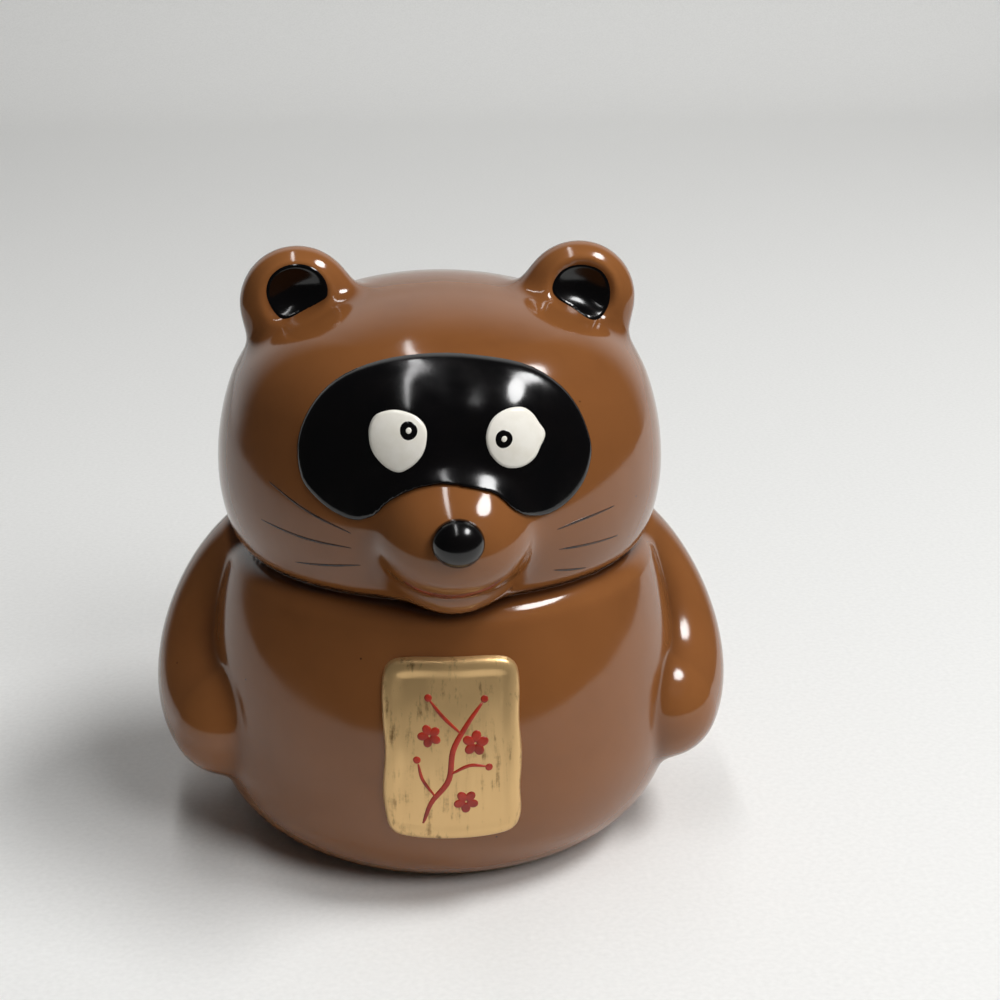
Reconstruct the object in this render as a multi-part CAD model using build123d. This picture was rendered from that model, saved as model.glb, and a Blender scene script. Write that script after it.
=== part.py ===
from build123d import *

import os
from math import cos, degrees, radians, sin

# Glazed ceramic tanuki savings bank, put together the way a potter builds one.
#
# Two hollow slip-cast shells, the torso and the head, meet at a spigot joint in the neck. Arms, ears,
# muzzle, lip and tail are cast on their own and luted to the shells. The mask, eyes, nose and belly
# plaque are low sprigged reliefs that follow the curved wall they sit on. A coin goes in through the
# slot in the back of the head, drops through the neck into the torso, and comes out of the foot once
# the soft stopper is pulled.
#
# Frame: +Z up, the face looks towards -Y, origin on the floor under the middle of the figure.
# All sizes are in millimetres.

# Walls of both shells
WALL = 3.5

# Torso: a round pot that swells above a foot set in from its side and closes in again at the neck
TORSO_RADIUS = 42.5
TORSO_WIDEST_Z = 22.0
TORSO_BELLY_CORNER = 18.0
TORSO_SHOULDER_CORNER = 5.0
FOOT_INSET = 14.5
FOOT_RING_WIDTH = 5.0
FOOT_RECESS = 3.0
NECK_INSET = 8.5
NECK_Z = 51.0

# Neck joint: a ring under the head drops into the torso's neck
NECK_BORE_RADIUS = 16.5
SPIGOT_WALL = 3.0
SPIGOT_LENGTH = 5.0

# Head: a full dome over a tight jaw line
HEAD_RADIUS = 38.7
HEAD_WIDEST_Z = 66.0
HEAD_TOP_Z = 97.8
HEAD_UNDER_INSET = 5.2
HEAD_DOME_CORNER = 20.0
HEAD_JAW_CORNER = 4.5

# Coin slot through the back of the head
SLOT_LENGTH = 33.0
SLOT_HEIGHT = 5.0
SLOT_Z = 76.0

# Stopper: a soft moulded cup with a flange, in the hole in the floor of the torso
STOPPER_HOLE_RADIUS = 14.0
STOPPER_CLEARANCE = 0.3
STOPPER_FLANGE_RADIUS = 17.5
STOPPER_FLANGE_THICKNESS = 1.5
STOPPER_LENGTH = 7.0
STOPPER_WALL = 2.0
STOPPER_NOTCH_RADIUS = 3.0

# Ears: thick round lobes with a dished front, set in from the head's side and down from its top
EAR_INSET = 14.7
EAR_DROP = 3.8
EAR_RADIUS = 9.8
EAR_HALF_THICKNESS = 5.0
EAR_DISH_RADIUS = 5.4
EAR_DISH_DEPTH = 2.2
EAR_DISH_UP = 2.6

# Arms: rolls half sunk in the torso's sides, bent from a shoulder through an elbow to a hand
ARM_RADIUS = 10.1
ARM_SHOULDER_INSET = 8.2
ARM_SHOULDER_Y = 5.9
ARM_SHOULDER_Z = 43.0
ARM_ELBOW_INSET = 2.2
ARM_ELBOW_Y = 2.0
ARM_ELBOW_Z = 31.9
ARM_HAND_INSET = 4.1
ARM_HAND_Y = -12.3
ARM_HAND_Z = 22.8

# Muzzle, lip and nose
MUZZLE_Z = 64.3
MUZZLE_SINK = 0.5
MUZZLE_RADIUS = 9.6
MUZZLE_HALF_WIDTH = 11.3
MUZZLE_CORNER = 10.0
LIP_Z = 57.3
LIP_SINK = 1.3
LIP_RADIUS = 4.8
LIP_HALF_WIDTH = 10.0
LIP_CORNER = 5.0
NOSE_Z = 67.0
NOSE_RADIUS = 4.2
NOSE_RISE = 3.2

# Mask and eyes
MASK_RELIEF = 1.0
MASK_HALF_WIDTH = 23.8
MASK_TOP_Z = 92.2
MASK_BROW_X = 20.0
MASK_BROW_Z = 85.4
MASK_SIDE_Z = 77.0
MASK_LOBE_Z = 67.5
MASK_LOBE_X = 14.3
MASK_NOTCH_Z = 73.5
EYE_X = 9.2
EYE_Z = 80.8
EYE_BALL_RADIUS = 9.6
EYE_RISE = 1.6

# Belly plaque, placed by hand a little off the middle
PLAQUE_X = -0.8
PLAQUE_WIDTH = 22.5
PLAQUE_HEIGHT = 31.0
PLAQUE_Z = 29.0
PLAQUE_CORNER = 4.0
PLAQUE_RELIEF = 1.2

# Tail: a full brush held up against the back, which it stands out from
TAIL_Z = 16.0
TAIL_OUT = 8.07
TAIL_RADIUS = 10.0
TAIL_RISE = 22.0
TAIL_DROP = 12.0
TAIL_TIP_CORNER = 9.0
TAIL_ROOT_CORNER = 10.0

# A quarter outline is a long side arc, a corner arc and a long level arc, which meet at these slopes
SIDE_TURN = 20.0
LEVEL_TURN = 65.0

# Angle round a turned solid at which its seam lies, away from everything that is joined on
SEAM_ANGLE = 50.0

# Solids that start at the height they are placed at and go up, or go down
UP = (Align.CENTER, Align.CENTER, Align.MIN)
DOWN = (Align.CENTER, Align.CENTER, Align.MAX)


def quarter(level_end, upright_end, corner):
    """Three tangent arcs, upright at one end and level at the other, round a corner of the given radius."""
    (level_x, level_z), (upright_x, upright_z) = level_end, upright_end
    width = upright_x - level_x
    height = abs(level_z - upright_z)
    up = 1 if level_z > upright_z else -1
    side_cos, side_sin = cos(radians(SIDE_TURN)), sin(radians(SIDE_TURN))
    turn_cos, turn_sin = cos(radians(LEVEL_TURN)), sin(radians(LEVEL_TURN))
    # The two outer radii that make the three arcs span the width and the height
    width_left = width - corner * (side_cos - turn_cos)
    height_left = height - corner * (turn_sin - side_sin)
    scale_down = (1 - side_cos) * (1 - turn_sin) - turn_cos * side_sin
    side_radius = (width_left * (1 - turn_sin) - turn_cos * height_left) / scale_down
    level_radius = ((1 - side_cos) * height_left - side_sin * width_left) / scale_down
    side_end = (upright_x - side_radius * (1 - side_cos), upright_z + up * side_radius * side_sin)
    corner_end = (level_x + level_radius * turn_cos, level_z - up * level_radius * (1 - turn_sin))
    return [
        TangentArc(upright_end, side_end, tangent=(0, up)),
        TangentArc(side_end, corner_end, tangent=(-side_sin, up * side_cos)),
        TangentArc(corner_end, level_end, tangent=(-turn_sin, up * turn_cos)),
    ]


def turned(*edges):
    """Solid of revolution about the upright axis, from a closed outline in radius and height."""
    return Rot(0, 0, SEAM_ANGLE) * revolve(Plane.XZ * make_face(edges), Axis.Z)


def egg(radius, rise, rise_corner, fall, fall_corner):
    """Upright egg about its own middle, where it is widest, reaching up and down as asked."""
    side = (radius, 0)
    return turned(
        *quarter((0, rise), side, rise_corner),
        *quarter((0, -fall), side, fall_corner),
        Line((0, rise), (0, -fall)),
    )


def roll(radius, half_width, corner):
    """Egg laid across the figure, the same on both sides."""
    return Rot(0, 90, 0) * egg(radius, half_width, corner, half_width, corner)


def facing(piece):
    """The same piece with its upright axis laid forwards."""
    return Rot(90, 0, 0) * piece


def torso_form(grow, floor_z, top_z):
    """The torso's filled outline, grown or shrunk at the sides, between two heights.

    A shrunk one has its neck drawn in too, so that the shoulder keeps its wall.
    """
    foot = (TORSO_RADIUS - FOOT_INSET, floor_z)
    belly = (TORSO_RADIUS + grow, TORSO_WIDEST_Z)
    neck = (TORSO_RADIUS - NECK_INSET + min(grow, 0), top_z)
    return turned(
        Line((0, floor_z), foot),
        *quarter(foot, belly, TORSO_BELLY_CORNER + grow),
        *quarter(neck, belly, TORSO_SHOULDER_CORNER + grow),
        Line(neck, (0, top_z)),
        Line((0, top_z), (0, floor_z)),
    )


def head_form(grow):
    """The head's filled outline, grown or shrunk all round.

    A shrunk one has its underside drawn in too, so that the jaw keeps its wall.
    """
    under = (HEAD_RADIUS - HEAD_UNDER_INSET + min(grow, 0), NECK_Z - grow)
    cheek = (HEAD_RADIUS + grow, HEAD_WIDEST_Z)
    crown = (0, HEAD_TOP_Z + grow)
    return turned(
        Line((0, NECK_Z - grow), under),
        *quarter(under, cheek, HEAD_JAW_CORNER + grow),
        *quarter(crown, cheek, HEAD_DOME_CORNER + grow),
        Line(crown, (0, NECK_Z - grow)),
    )


def front_spot(form, x, z):
    """Where a form's front lies straight ahead of a place on the face, and the way it looks there."""
    return form.find_intersection_points(Axis((x, -3 * HEAD_RADIUS, z), (0, 1, 0)))[0]


def raised(outline, carrier, grown_carrier, reach):
    """Relief of even height on a carrier's front: the outline pushed forwards through the grown carrier."""
    stamp = extrude(Plane.XZ * outline, amount=reach)
    return (grown_carrier & stamp) - carrier


def make_torso_shell():
    shell = torso_form(0, 0, NECK_Z) - torso_form(-WALL, FOOT_RECESS + WALL, NECK_Z - WALL)
    recess = Cylinder(TORSO_RADIUS - FOOT_INSET - FOOT_RING_WIDTH, FOOT_RECESS, align=UP)
    stopper_hole = Cylinder(STOPPER_HOLE_RADIUS, FOOT_RECESS + WALL, align=UP)
    neck_hole = Pos(0, 0, NECK_Z) * Cylinder(NECK_BORE_RADIUS + SPIGOT_WALL, WALL, align=DOWN)
    return shell - recess - stopper_hole - neck_hole


def make_head_shell():
    shell = head_form(0) - head_form(-WALL)
    spigot = Pos(0, 0, NECK_Z) * Cylinder(NECK_BORE_RADIUS + SPIGOT_WALL, SPIGOT_LENGTH, align=DOWN)
    bore = Pos(0, 0, NECK_Z - SPIGOT_LENGTH) * Cylinder(NECK_BORE_RADIUS, SPIGOT_LENGTH + WALL, align=UP)
    slot = Pos(0, HEAD_RADIUS / 2, SLOT_Z) * Box(SLOT_LENGTH, HEAD_RADIUS, SLOT_HEIGHT)
    return shell + spigot - bore - slot


def make_ear(head):
    rim = EAR_RADIUS - EAR_HALF_THICKNESS
    lobe = turned(
        Line((0, -EAR_HALF_THICKNESS), (rim, -EAR_HALF_THICKNESS)),
        ThreePointArc((rim, -EAR_HALF_THICKNESS), (EAR_RADIUS, 0), (rim, EAR_HALF_THICKNESS)),
        Line((rim, EAR_HALF_THICKNESS), (0, EAR_HALF_THICKNESS)),
        Line((0, EAR_HALF_THICKNESS), (0, -EAR_HALF_THICKNESS)),
    )
    hollow = (EAR_DISH_RADIUS**2 + EAR_DISH_DEPTH**2) / (2 * EAR_DISH_DEPTH)
    dish = Pos(0, EAR_DISH_UP, EAR_HALF_THICKNESS + hollow - EAR_DISH_DEPTH) * Sphere(hollow)
    return Pos(HEAD_RADIUS - EAR_INSET, 0, HEAD_TOP_Z - EAR_DROP) * facing(lobe - dish) - head


def make_arm(torso, head):
    """Bent roll of even thickness with round ends, up to the walls it is luted to."""
    shoulder = Vector(TORSO_RADIUS - ARM_SHOULDER_INSET, ARM_SHOULDER_Y, ARM_SHOULDER_Z)
    elbow = Vector(TORSO_RADIUS - ARM_ELBOW_INSET, ARM_ELBOW_Y, ARM_ELBOW_Z)
    hand = Vector(TORSO_RADIUS - ARM_HAND_INSET, ARM_HAND_Y, ARM_HAND_Z)
    bend = ThreePointArc(shoulder, elbow, hand)
    section = Plane(shoulder, z_dir=bend % 0) * Circle(ARM_RADIUS)
    limb = revolve(section, Axis(bend.arc_center, bend.normal()), degrees(bend.length / bend.radius))
    limb += Pos(shoulder) * Sphere(ARM_RADIUS)
    limb += Pos(hand) * Sphere(ARM_RADIUS)
    return limb - torso - head


def make_muzzle(head):
    spot, _ = front_spot(head, 0, MUZZLE_Z)
    return Pos(spot + Vector(0, MUZZLE_SINK, 0)) * roll(MUZZLE_RADIUS, MUZZLE_HALF_WIDTH, MUZZLE_CORNER) - head


def make_lip(head, muzzle):
    spot, _ = front_spot(head, 0, LIP_Z)
    return Pos(spot + Vector(0, LIP_SINK, 0)) * roll(LIP_RADIUS, LIP_HALF_WIDTH, LIP_CORNER) - head - muzzle


def make_nose(muzzle):
    spot, _ = front_spot(muzzle, 0, NOSE_Z)
    return Pos(spot + Vector(0, NOSE_RADIUS - NOSE_RISE, 0)) * Sphere(NOSE_RADIUS) - muzzle


def make_mask(head, grown_head, muzzle):
    half = Spline(
        (0, MASK_TOP_Z),
        (MASK_BROW_X, MASK_BROW_Z),
        (MASK_HALF_WIDTH, MASK_SIDE_Z),
        (MASK_LOBE_X, MASK_LOBE_Z),
        (0, MASK_NOTCH_Z),
        tangents=[(1, 0), (-1, 0)],
    )
    outline = make_face([half, mirror(half, about=Plane.YZ)])
    return raised(outline, head, grown_head, 2 * HEAD_RADIUS) - muzzle


def make_eye(grown_head):
    """Cap of an eyeball that stands out of the mask."""
    spot, outwards = front_spot(grown_head, EYE_X, EYE_Z)
    return Pos(spot + outwards * (EYE_RISE - EYE_BALL_RADIUS)) * Sphere(EYE_BALL_RADIUS) - grown_head


def make_plaque(torso):
    outline = Pos(PLAQUE_X, PLAQUE_Z) * RectangleRounded(PLAQUE_WIDTH, PLAQUE_HEIGHT, PLAQUE_CORNER)
    return raised(outline, torso, torso_form(PLAQUE_RELIEF, 0, NECK_Z), 2 * TORSO_RADIUS)


def make_tail(torso):
    brush = egg(TAIL_RADIUS, TAIL_RISE, TAIL_TIP_CORNER, TAIL_DROP, TAIL_ROOT_CORNER)
    return Pos(0, TORSO_RADIUS + TAIL_OUT - TAIL_RADIUS, TAIL_Z) * brush - torso


def make_stopper():
    """Cup that hangs in the floor of the torso, clear of it all round, with a notch for a fingernail."""
    seat = FOOT_RECESS - STOPPER_CLEARANCE
    shank = STOPPER_HOLE_RADIUS - STOPPER_CLEARANCE
    flange = Pos(0, 0, seat) * Cylinder(STOPPER_FLANGE_RADIUS, STOPPER_FLANGE_THICKNESS, align=DOWN)
    plug = Pos(0, 0, seat) * Cylinder(shank, STOPPER_LENGTH, align=UP)
    hollow = Pos(0, 0, seat + STOPPER_WALL) * Cylinder(shank - STOPPER_WALL, STOPPER_LENGTH, align=UP)
    notch = Pos(0, STOPPER_FLANGE_RADIUS, 0) * Cylinder(STOPPER_NOTCH_RADIUS, seat, align=UP)
    return flange + plug - hollow - notch


def build():
    """Every piece of the bank by its node name. The figure's left is at +X."""
    torso = torso_form(0, 0, NECK_Z)
    head = head_form(0)
    grown_head = head_form(MASK_RELIEF)
    muzzle = make_muzzle(head)
    pieces = {
        "torso_shell": make_torso_shell(),
        "head_shell": make_head_shell(),
        "left_arm": make_arm(torso, head),
        "left_ear": make_ear(head),
        "left_eye": make_eye(grown_head),
        "muzzle": muzzle,
        "lower_lip": make_lip(head, muzzle),
        "nose": make_nose(muzzle),
        "mask_panel": make_mask(head, grown_head, muzzle),
        "belly_plaque": make_plaque(torso),
        "tail": make_tail(torso),
        "base_stopper": make_stopper(),
    }
    for kind in ("arm", "ear", "eye"):
        pieces[f"right_{kind}"] = mirror(pieces[f"left_{kind}"], about=Plane.YZ)
    return pieces


if __name__ == "__main__":
    os.makedirs("parts", exist_ok=True)
    for name, piece in build().items():
        export_step(piece, f"parts/{name}.step")
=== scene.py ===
import math

import bpy
import numpy as np
from mathutils import Matrix, Vector


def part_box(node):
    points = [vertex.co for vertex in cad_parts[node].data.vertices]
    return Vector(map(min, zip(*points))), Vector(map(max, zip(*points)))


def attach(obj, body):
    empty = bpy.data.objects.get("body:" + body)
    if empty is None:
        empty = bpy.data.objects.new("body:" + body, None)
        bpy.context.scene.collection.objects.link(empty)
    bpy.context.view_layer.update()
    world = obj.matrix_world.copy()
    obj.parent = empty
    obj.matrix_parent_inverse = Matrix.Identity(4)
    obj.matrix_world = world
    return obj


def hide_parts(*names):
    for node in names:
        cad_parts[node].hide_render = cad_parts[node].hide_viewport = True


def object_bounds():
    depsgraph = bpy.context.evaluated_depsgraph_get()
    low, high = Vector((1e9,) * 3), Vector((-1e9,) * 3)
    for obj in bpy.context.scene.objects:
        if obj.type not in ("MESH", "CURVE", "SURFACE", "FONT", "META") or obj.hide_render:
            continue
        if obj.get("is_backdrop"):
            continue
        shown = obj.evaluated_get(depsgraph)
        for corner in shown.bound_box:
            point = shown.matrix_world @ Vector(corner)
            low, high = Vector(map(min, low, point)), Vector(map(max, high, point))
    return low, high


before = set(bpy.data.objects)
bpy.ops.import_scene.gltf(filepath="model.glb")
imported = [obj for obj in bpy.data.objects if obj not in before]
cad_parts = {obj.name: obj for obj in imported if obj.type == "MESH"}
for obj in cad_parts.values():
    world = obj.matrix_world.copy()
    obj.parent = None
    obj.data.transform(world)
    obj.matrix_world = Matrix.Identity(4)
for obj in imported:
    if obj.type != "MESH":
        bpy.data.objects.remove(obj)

bl_info = {
    "name": "Glazed Tanuki Bank",
    "version": (1, 0, 0),
    "blender": (4, 5, 0),
    "location": "View3D > Sidebar > Tanuki",
    "description": "Builds the skins, painted face, gold plaque and stage of a ceramic tanuki savings bank",
    "category": "Add Mesh",
}

MM = 0.001
CAD_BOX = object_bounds()


def box_round(*nodes):
    """Low and high corner of the box round some nodes of the frame."""
    lows, highs = zip(*(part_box(node) for node in nodes))
    return np.min(lows, axis=0), np.max(highs, axis=0)


def linear(hex_value):
    """Linear colour of an sRGB hex value."""
    parts = [int(hex_value[i:i + 2], 16) / 255 for i in (1, 3, 5)]
    return tuple(c / 12.92 if c <= 0.04045 else ((c + 0.055) / 1.055) ** 2.4 for c in parts)


def length(name, description, millimetres):
    return bpy.props.FloatProperty(name=name, description=description, default=millimetres * MM, unit="LENGTH",
                                   min=0.0, precision=5)


def colour(name, description, hex_value):
    return bpy.props.FloatVectorProperty(name=name, description=description, default=linear(hex_value), size=3,
                                         min=0.0, max=1.0, subtype="COLOR")


def power(name, description, watts):
    return bpy.props.FloatProperty(name=name, description=description, default=watts, unit="POWER")


class TANUKI_PG_forms(bpy.types.PropertyGroup):
    """Sizes of the cast forms that are free to change without moving a joint."""
    cell: length("Skin fineness", "Width of one face of the glazed skins", 0.75)
    ear_fillet: length("Ear fillet", "How far slip fills the corner round each ear", 6.0)
    muzzle_fillet: length("Muzzle fillet", "How far slip fills the corner round the muzzle", 9.0)
    lip_fillet: length("Lip fillet", "How far glaze fills the line of the mouth", 1.2)
    arm_fillet: length("Arm fillet", "How far slip fills the line between arm and torso", 3.5)
    neck_fillet: length("Neck fillet", "How far glaze fills the line between head and torso", 2.0)
    mask_relief: length("Mask relief", "Height of the mask over the head", 0.6)
    plaque_relief: length("Plaque relief", "Height of the plaque over the belly", 1.2)
    paint_lift: length("Paint lift", "Height of brushed enamel over the glaze below it", 0.12)
    whisker_width: length("Whisker width", "Width of a brushed whisker at its middle", 0.42)


class TANUKI_PG_colours(bpy.types.PropertyGroup):
    """Colours of the glazes and enamels."""
    brown: colour("Brown glaze", "Amber brown of the dipped glaze", "#7F4F2A")
    brown_thin: colour("Thin glaze", "Where the glaze runs thin over a ridge", "#925D33")
    brown_deep: colour("Deep glaze", "Where the glaze pools in a corner", "#4E2B14")
    black: colour("Black glaze", "Mask, nose and ear linings", "#030406")
    white: colour("White enamel", "Whites of the eyes", "#F6F2E8")
    gold: colour("Gold lustre", "Brushed gold of the plaque", "#E0BA82")
    gold_worn: colour("Worn lustre", "Where the lustre is rubbed or smudged", "#86673F")
    red: colour("Red enamel", "Brushed motif of the plaque", "#B2301C")
    mouth: colour("Mouth enamel", "Line of the mouth", "#8A3A1E")
    line: colour("Line enamel", "Whiskers", "#2A1A12")
    bisque: colour("Bare clay", "Unglazed foot ring", "#C9B79C")
    vinyl: colour("Soft vinyl", "Stopper", "#D8D0BF")


class TANUKI_PG_stage(bpy.types.PropertyGroup):
    """Floor, lamps and camera."""
    floor: colour("Floor", "Plain pale floor", "#F3F3F1")
    lens: bpy.props.FloatProperty(name="Lens", description="Focal length of the camera", default=72.0, min=1.0)
    broad: power("Broad lamp", "Power of the wide soft lamp at the side", 13.0)
    strip: power("Strip lamp", "Power of the long narrow lamp overhead", 3.2)
    fill: power("Fill lamp", "Power of the soft lamp in front", 4.5)
    sky: bpy.props.FloatProperty(name="Room light", description="Strength of the even light of the room",
                                 default=0.04)


# Forms as distances to their surface, in metres, for points in an array whose last axis is x, y, z

# Where the three arcs of a quarter outline meet, as slopes from upright
SIDE_TURN = math.radians(20.0)
LEVEL_TURN = math.radians(65.0)


def quarter(r, z, level_end, upright_end, corner):
    """Distance to a quarter outline of three tangent arcs, level at one end and upright at the other."""
    (level_r, level_z), (upright_r, upright_z) = level_end, upright_end
    up = 1.0 if level_z > upright_z else -1.0
    width, height = upright_r - level_r, abs(level_z - upright_z)
    side_cos, side_sin = math.cos(SIDE_TURN), math.sin(SIDE_TURN)
    turn_cos, turn_sin = math.cos(LEVEL_TURN), math.sin(LEVEL_TURN)
    width_left = width - corner * (side_cos - turn_cos)
    height_left = height - corner * (turn_sin - side_sin)
    scale = (1 - side_cos) * (1 - turn_sin) - turn_cos * side_sin
    side = (width_left * (1 - turn_sin) - turn_cos * height_left) / scale
    level = ((1 - side_cos) * height_left - side_sin * width_left) / scale
    rise = up * (z - upright_z)
    side_r = upright_r - side
    corner_r = side_r + (side - corner) * side_cos
    corner_rise = (side - corner) * side_sin
    level_rise = height - level
    slope = np.arctan2(rise - corner_rise, r - corner_r)
    along_side = np.hypot(r - side_r, rise) - side
    round_corner = np.hypot(r - corner_r, rise - corner_rise) - corner
    along_level = np.where(r > level_r, np.hypot(r - level_r, rise - level_rise) - level, rise - height)
    return np.where(slope < SIDE_TURN, along_side, np.where(slope > LEVEL_TURN, along_level, round_corner))


def egg(r, z, radius, rise, rise_corner, fall, fall_corner):
    """Distance to an egg about its own middle, from the distance to its axis and the height along it."""
    upper = quarter(r, z, (0.0, rise), (radius, 0.0), rise_corner)
    lower = quarter(r, z, (0.0, -fall), (radius, 0.0), fall_corner)
    return np.where(z > 0, upper, lower)


def soft_min(a, b, width):
    """Union of two forms with the corner between them filled over the given width."""
    share = np.maximum(width - np.abs(a - b), 0.0) / width
    return np.minimum(a, b) - share**3 * width / 6


def soft_max(a, b, width):
    """What two forms share, with the edge between them rounded over the given width."""
    return -soft_min(-a, -b, width)


def split(p):
    return p[..., 0], p[..., 1], p[..., 2]


def forms():
    return bpy.context.scene.tanuki_forms


# Both shells are cast with one wall
WALL = 3.5 * MM

# Torso: widest at the belly, with a tight shoulder and a broad foot that is recessed for the stopper
BELLY_RADIUS, BELLY_Z = 42.5 * MM, 22.0 * MM
SHOULDER_RADIUS, SHOULDER_CORNER, TORSO_TOP = 34.0 * MM, 5.0 * MM, 52.2 * MM
FOOT_RADIUS, FOOT_CORNER, FOOT_EDGE = 28.0 * MM, 18.0 * MM, 0.8 * MM
RECESS_RADIUS, RECESS_DEPTH = 23.0 * MM, 3.0 * MM
STOPPER_HOLE_RADIUS = 14.0 * MM
TORSO_CEILING = 47.5 * MM


def torso_pot(p, grow=0.0, floor=0.0, top=TORSO_TOP):
    """Torso without its arms and tail."""
    x, y, z = split(p)
    r = np.hypot(x, y)
    belly = (BELLY_RADIUS + grow, BELLY_Z)
    upper = quarter(r, z, (SHOULDER_RADIUS + min(grow, 0.0), top), belly, SHOULDER_CORNER + grow)
    lower = quarter(r, z, (FOOT_RADIUS, floor), belly, FOOT_CORNER + grow)
    return np.where(z > BELLY_Z, upper, lower)


# Head: widest at the cheeks, with a tall crown and a tight jaw
CHEEK_RADIUS, CHEEK_Z = 38.7 * MM, 66.0 * MM
CROWN_Z, CROWN_CORNER = 97.8 * MM, 20.0 * MM
JAW_RADIUS, JAW_Z, JAW_CORNER = 33.0 * MM, 52.6 * MM, 4.5 * MM


def head_dome(p, grow=0.0):
    """Head without its ears and snout."""
    x, y, z = split(p)
    r = np.hypot(x, y)
    cheek = (CHEEK_RADIUS + grow, CHEEK_Z)
    upper = quarter(r, z, (0.0, CROWN_Z + grow), cheek, CROWN_CORNER + grow)
    lower = quarter(r, z, (JAW_RADIUS + min(grow, 0.0), JAW_Z - grow), cheek, JAW_CORNER + grow)
    return np.where(z > CHEEK_Z, upper, lower)


# Ears: a lobe with a round rim, dished by a ball in front of it
EAR_X, EAR_Z, EAR_RING, EAR_RIM = 24.0 * MM, 94.0 * MM, 4.8 * MM, 5.0 * MM
DISH_X, DISH_Y, DISH_Z = 24.1 * MM, -10.8 * MM, 96.6 * MM
DISH_RADIUS, DISH_EDGE = 8.2 * MM, 1.2 * MM


def ear_lobe(p):
    """Both ears: a thick ring-shaped rim round a dished front."""
    x, y, z = split(p)
    r = np.hypot(np.abs(x) - EAR_X, z - EAR_Z)
    lobe = np.where(r > EAR_RING, np.hypot(r - EAR_RING, y), np.abs(y)) - EAR_RIM
    dish = np.hypot(np.hypot(np.abs(x) - DISH_X, z - DISH_Z), y - DISH_Y) - DISH_RADIUS
    return soft_max(lobe, -dish, DISH_EDGE)


MUZZLE_Y, MUZZLE_Z, MUZZLE_RADIUS = -38.15 * MM, 64.6 * MM, 9.2 * MM
MUZZLE_HALF, MUZZLE_CORNER = 11.3 * MM, 10.0 * MM


def muzzle_roll(p):
    """The muzzle: an egg laid across the face."""
    x, y, z = split(p)
    r = np.hypot(y - MUZZLE_Y, z - MUZZLE_Z)
    return egg(r, np.abs(x), MUZZLE_RADIUS, MUZZLE_HALF, MUZZLE_CORNER, MUZZLE_HALF, MUZZLE_CORNER)


LIP_Y, LIP_Z, LIP_RADIUS = -37.7 * MM, 57.3 * MM, 4.9 * MM
LIP_HALF, LIP_CORNER = 10.6 * MM, 5.2 * MM
# How its ends bend back and up, as shares of the square of x, per metre
LIP_BACK, LIP_UP = 20.0, 30.0


def lip_crescent(p):
    """The lower lip: a thinner egg across the face, bent up and back at its ends."""
    x, y, z = split(p)
    r = np.hypot(y - LIP_Y - x**2 * LIP_BACK, z - LIP_Z - x**2 * LIP_UP)
    return egg(r, np.abs(x), LIP_RADIUS, LIP_HALF, LIP_CORNER, LIP_HALF, LIP_CORNER)


# Where the arms bend, on the figure's left, and how far they go on behind the jaw
SHOULDER = np.array((34.3, 5.9, 43.0)) * MM
ELBOW = np.array((40.3, 2.0, 31.9)) * MM
HAND = np.array((38.4, -12.3, 22.8)) * MM
ARM_RADIUS, ARM_BEHIND = 10.1 * MM, 4.5 * MM


def arm_roll(p):
    """Both arms: even rolls along an arc from behind the jaw over shoulder and elbow to the hand."""
    u, v = ELBOW - SHOULDER, HAND - SHOULDER
    normal = np.cross(u, v)
    middle = (u.dot(u) * np.cross(v, normal) + v.dot(v) * np.cross(normal, u)) / (2 * normal.dot(normal))
    bend = np.linalg.norm(middle)
    ahead = -middle / bend
    normal = normal / np.linalg.norm(normal)
    aside = np.cross(normal, ahead)
    span = math.atan2((v - middle).dot(aside), (v - middle).dot(ahead)) % (2 * math.pi)
    q = np.stack((np.abs(p[..., 0]), p[..., 1], p[..., 2]), -1) - SHOULDER
    a, b = (q - middle) @ ahead, (q - middle) @ aside
    along = np.hypot(np.hypot(a, b) - bend, (q - middle) @ normal)
    back = ARM_BEHIND / bend
    start = middle + bend * (math.cos(back) * ahead - math.sin(back) * aside)
    ends = np.minimum(np.linalg.norm(q - start, axis=-1), np.linalg.norm(q - v, axis=-1))
    return np.where((np.arctan2(b, a) + back) % (2 * math.pi) < span + back, along, ends) - ARM_RADIUS


TAIL_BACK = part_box("tail")[1].y
TAIL_RADIUS, TAIL_Z = 10.0 * MM, 16.0 * MM
TAIL_RISE, TAIL_RISE_CORNER = 22.0 * MM, 9.0 * MM
TAIL_FALL, TAIL_FALL_CORNER = 12.0 * MM, 10.0 * MM


def tail_brush(p):
    """The tail: an upright egg against the back."""
    x, y, z = split(p)
    r = np.hypot(x, y - TAIL_BACK + TAIL_RADIUS)
    return egg(r, z - TAIL_Z, TAIL_RADIUS, TAIL_RISE, TAIL_RISE_CORNER, TAIL_FALL, TAIL_FALL_CORNER)


def block(p, low, high):
    """Distance to an upright box, exact outside and near its faces."""
    middle, half = (low + high) / 2, (high - low) / 2
    gap = np.abs(p - middle) - half
    return np.linalg.norm(np.maximum(gap, 0.0), axis=-1) + np.minimum(gap.max(axis=-1), 0.0)


def face_ground(p):
    """The head with muzzle and lip grown together, which the mask is laid on."""
    sizes = forms()
    snout = soft_min(muzzle_roll(p), lip_crescent(p), sizes.lip_fillet)
    return soft_min(head_dome(p), snout, sizes.muzzle_fillet)


def head_outside(p):
    """The whole head with both ears grown on."""
    return soft_min(face_ground(p), ear_lobe(p), forms().ear_fillet)


NECK_RADIUS, NECK_Z, NECK_HALF, NECK_CORNER = 32.4 * MM, 50.4 * MM, 3.0 * MM, 1.5 * MM


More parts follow.
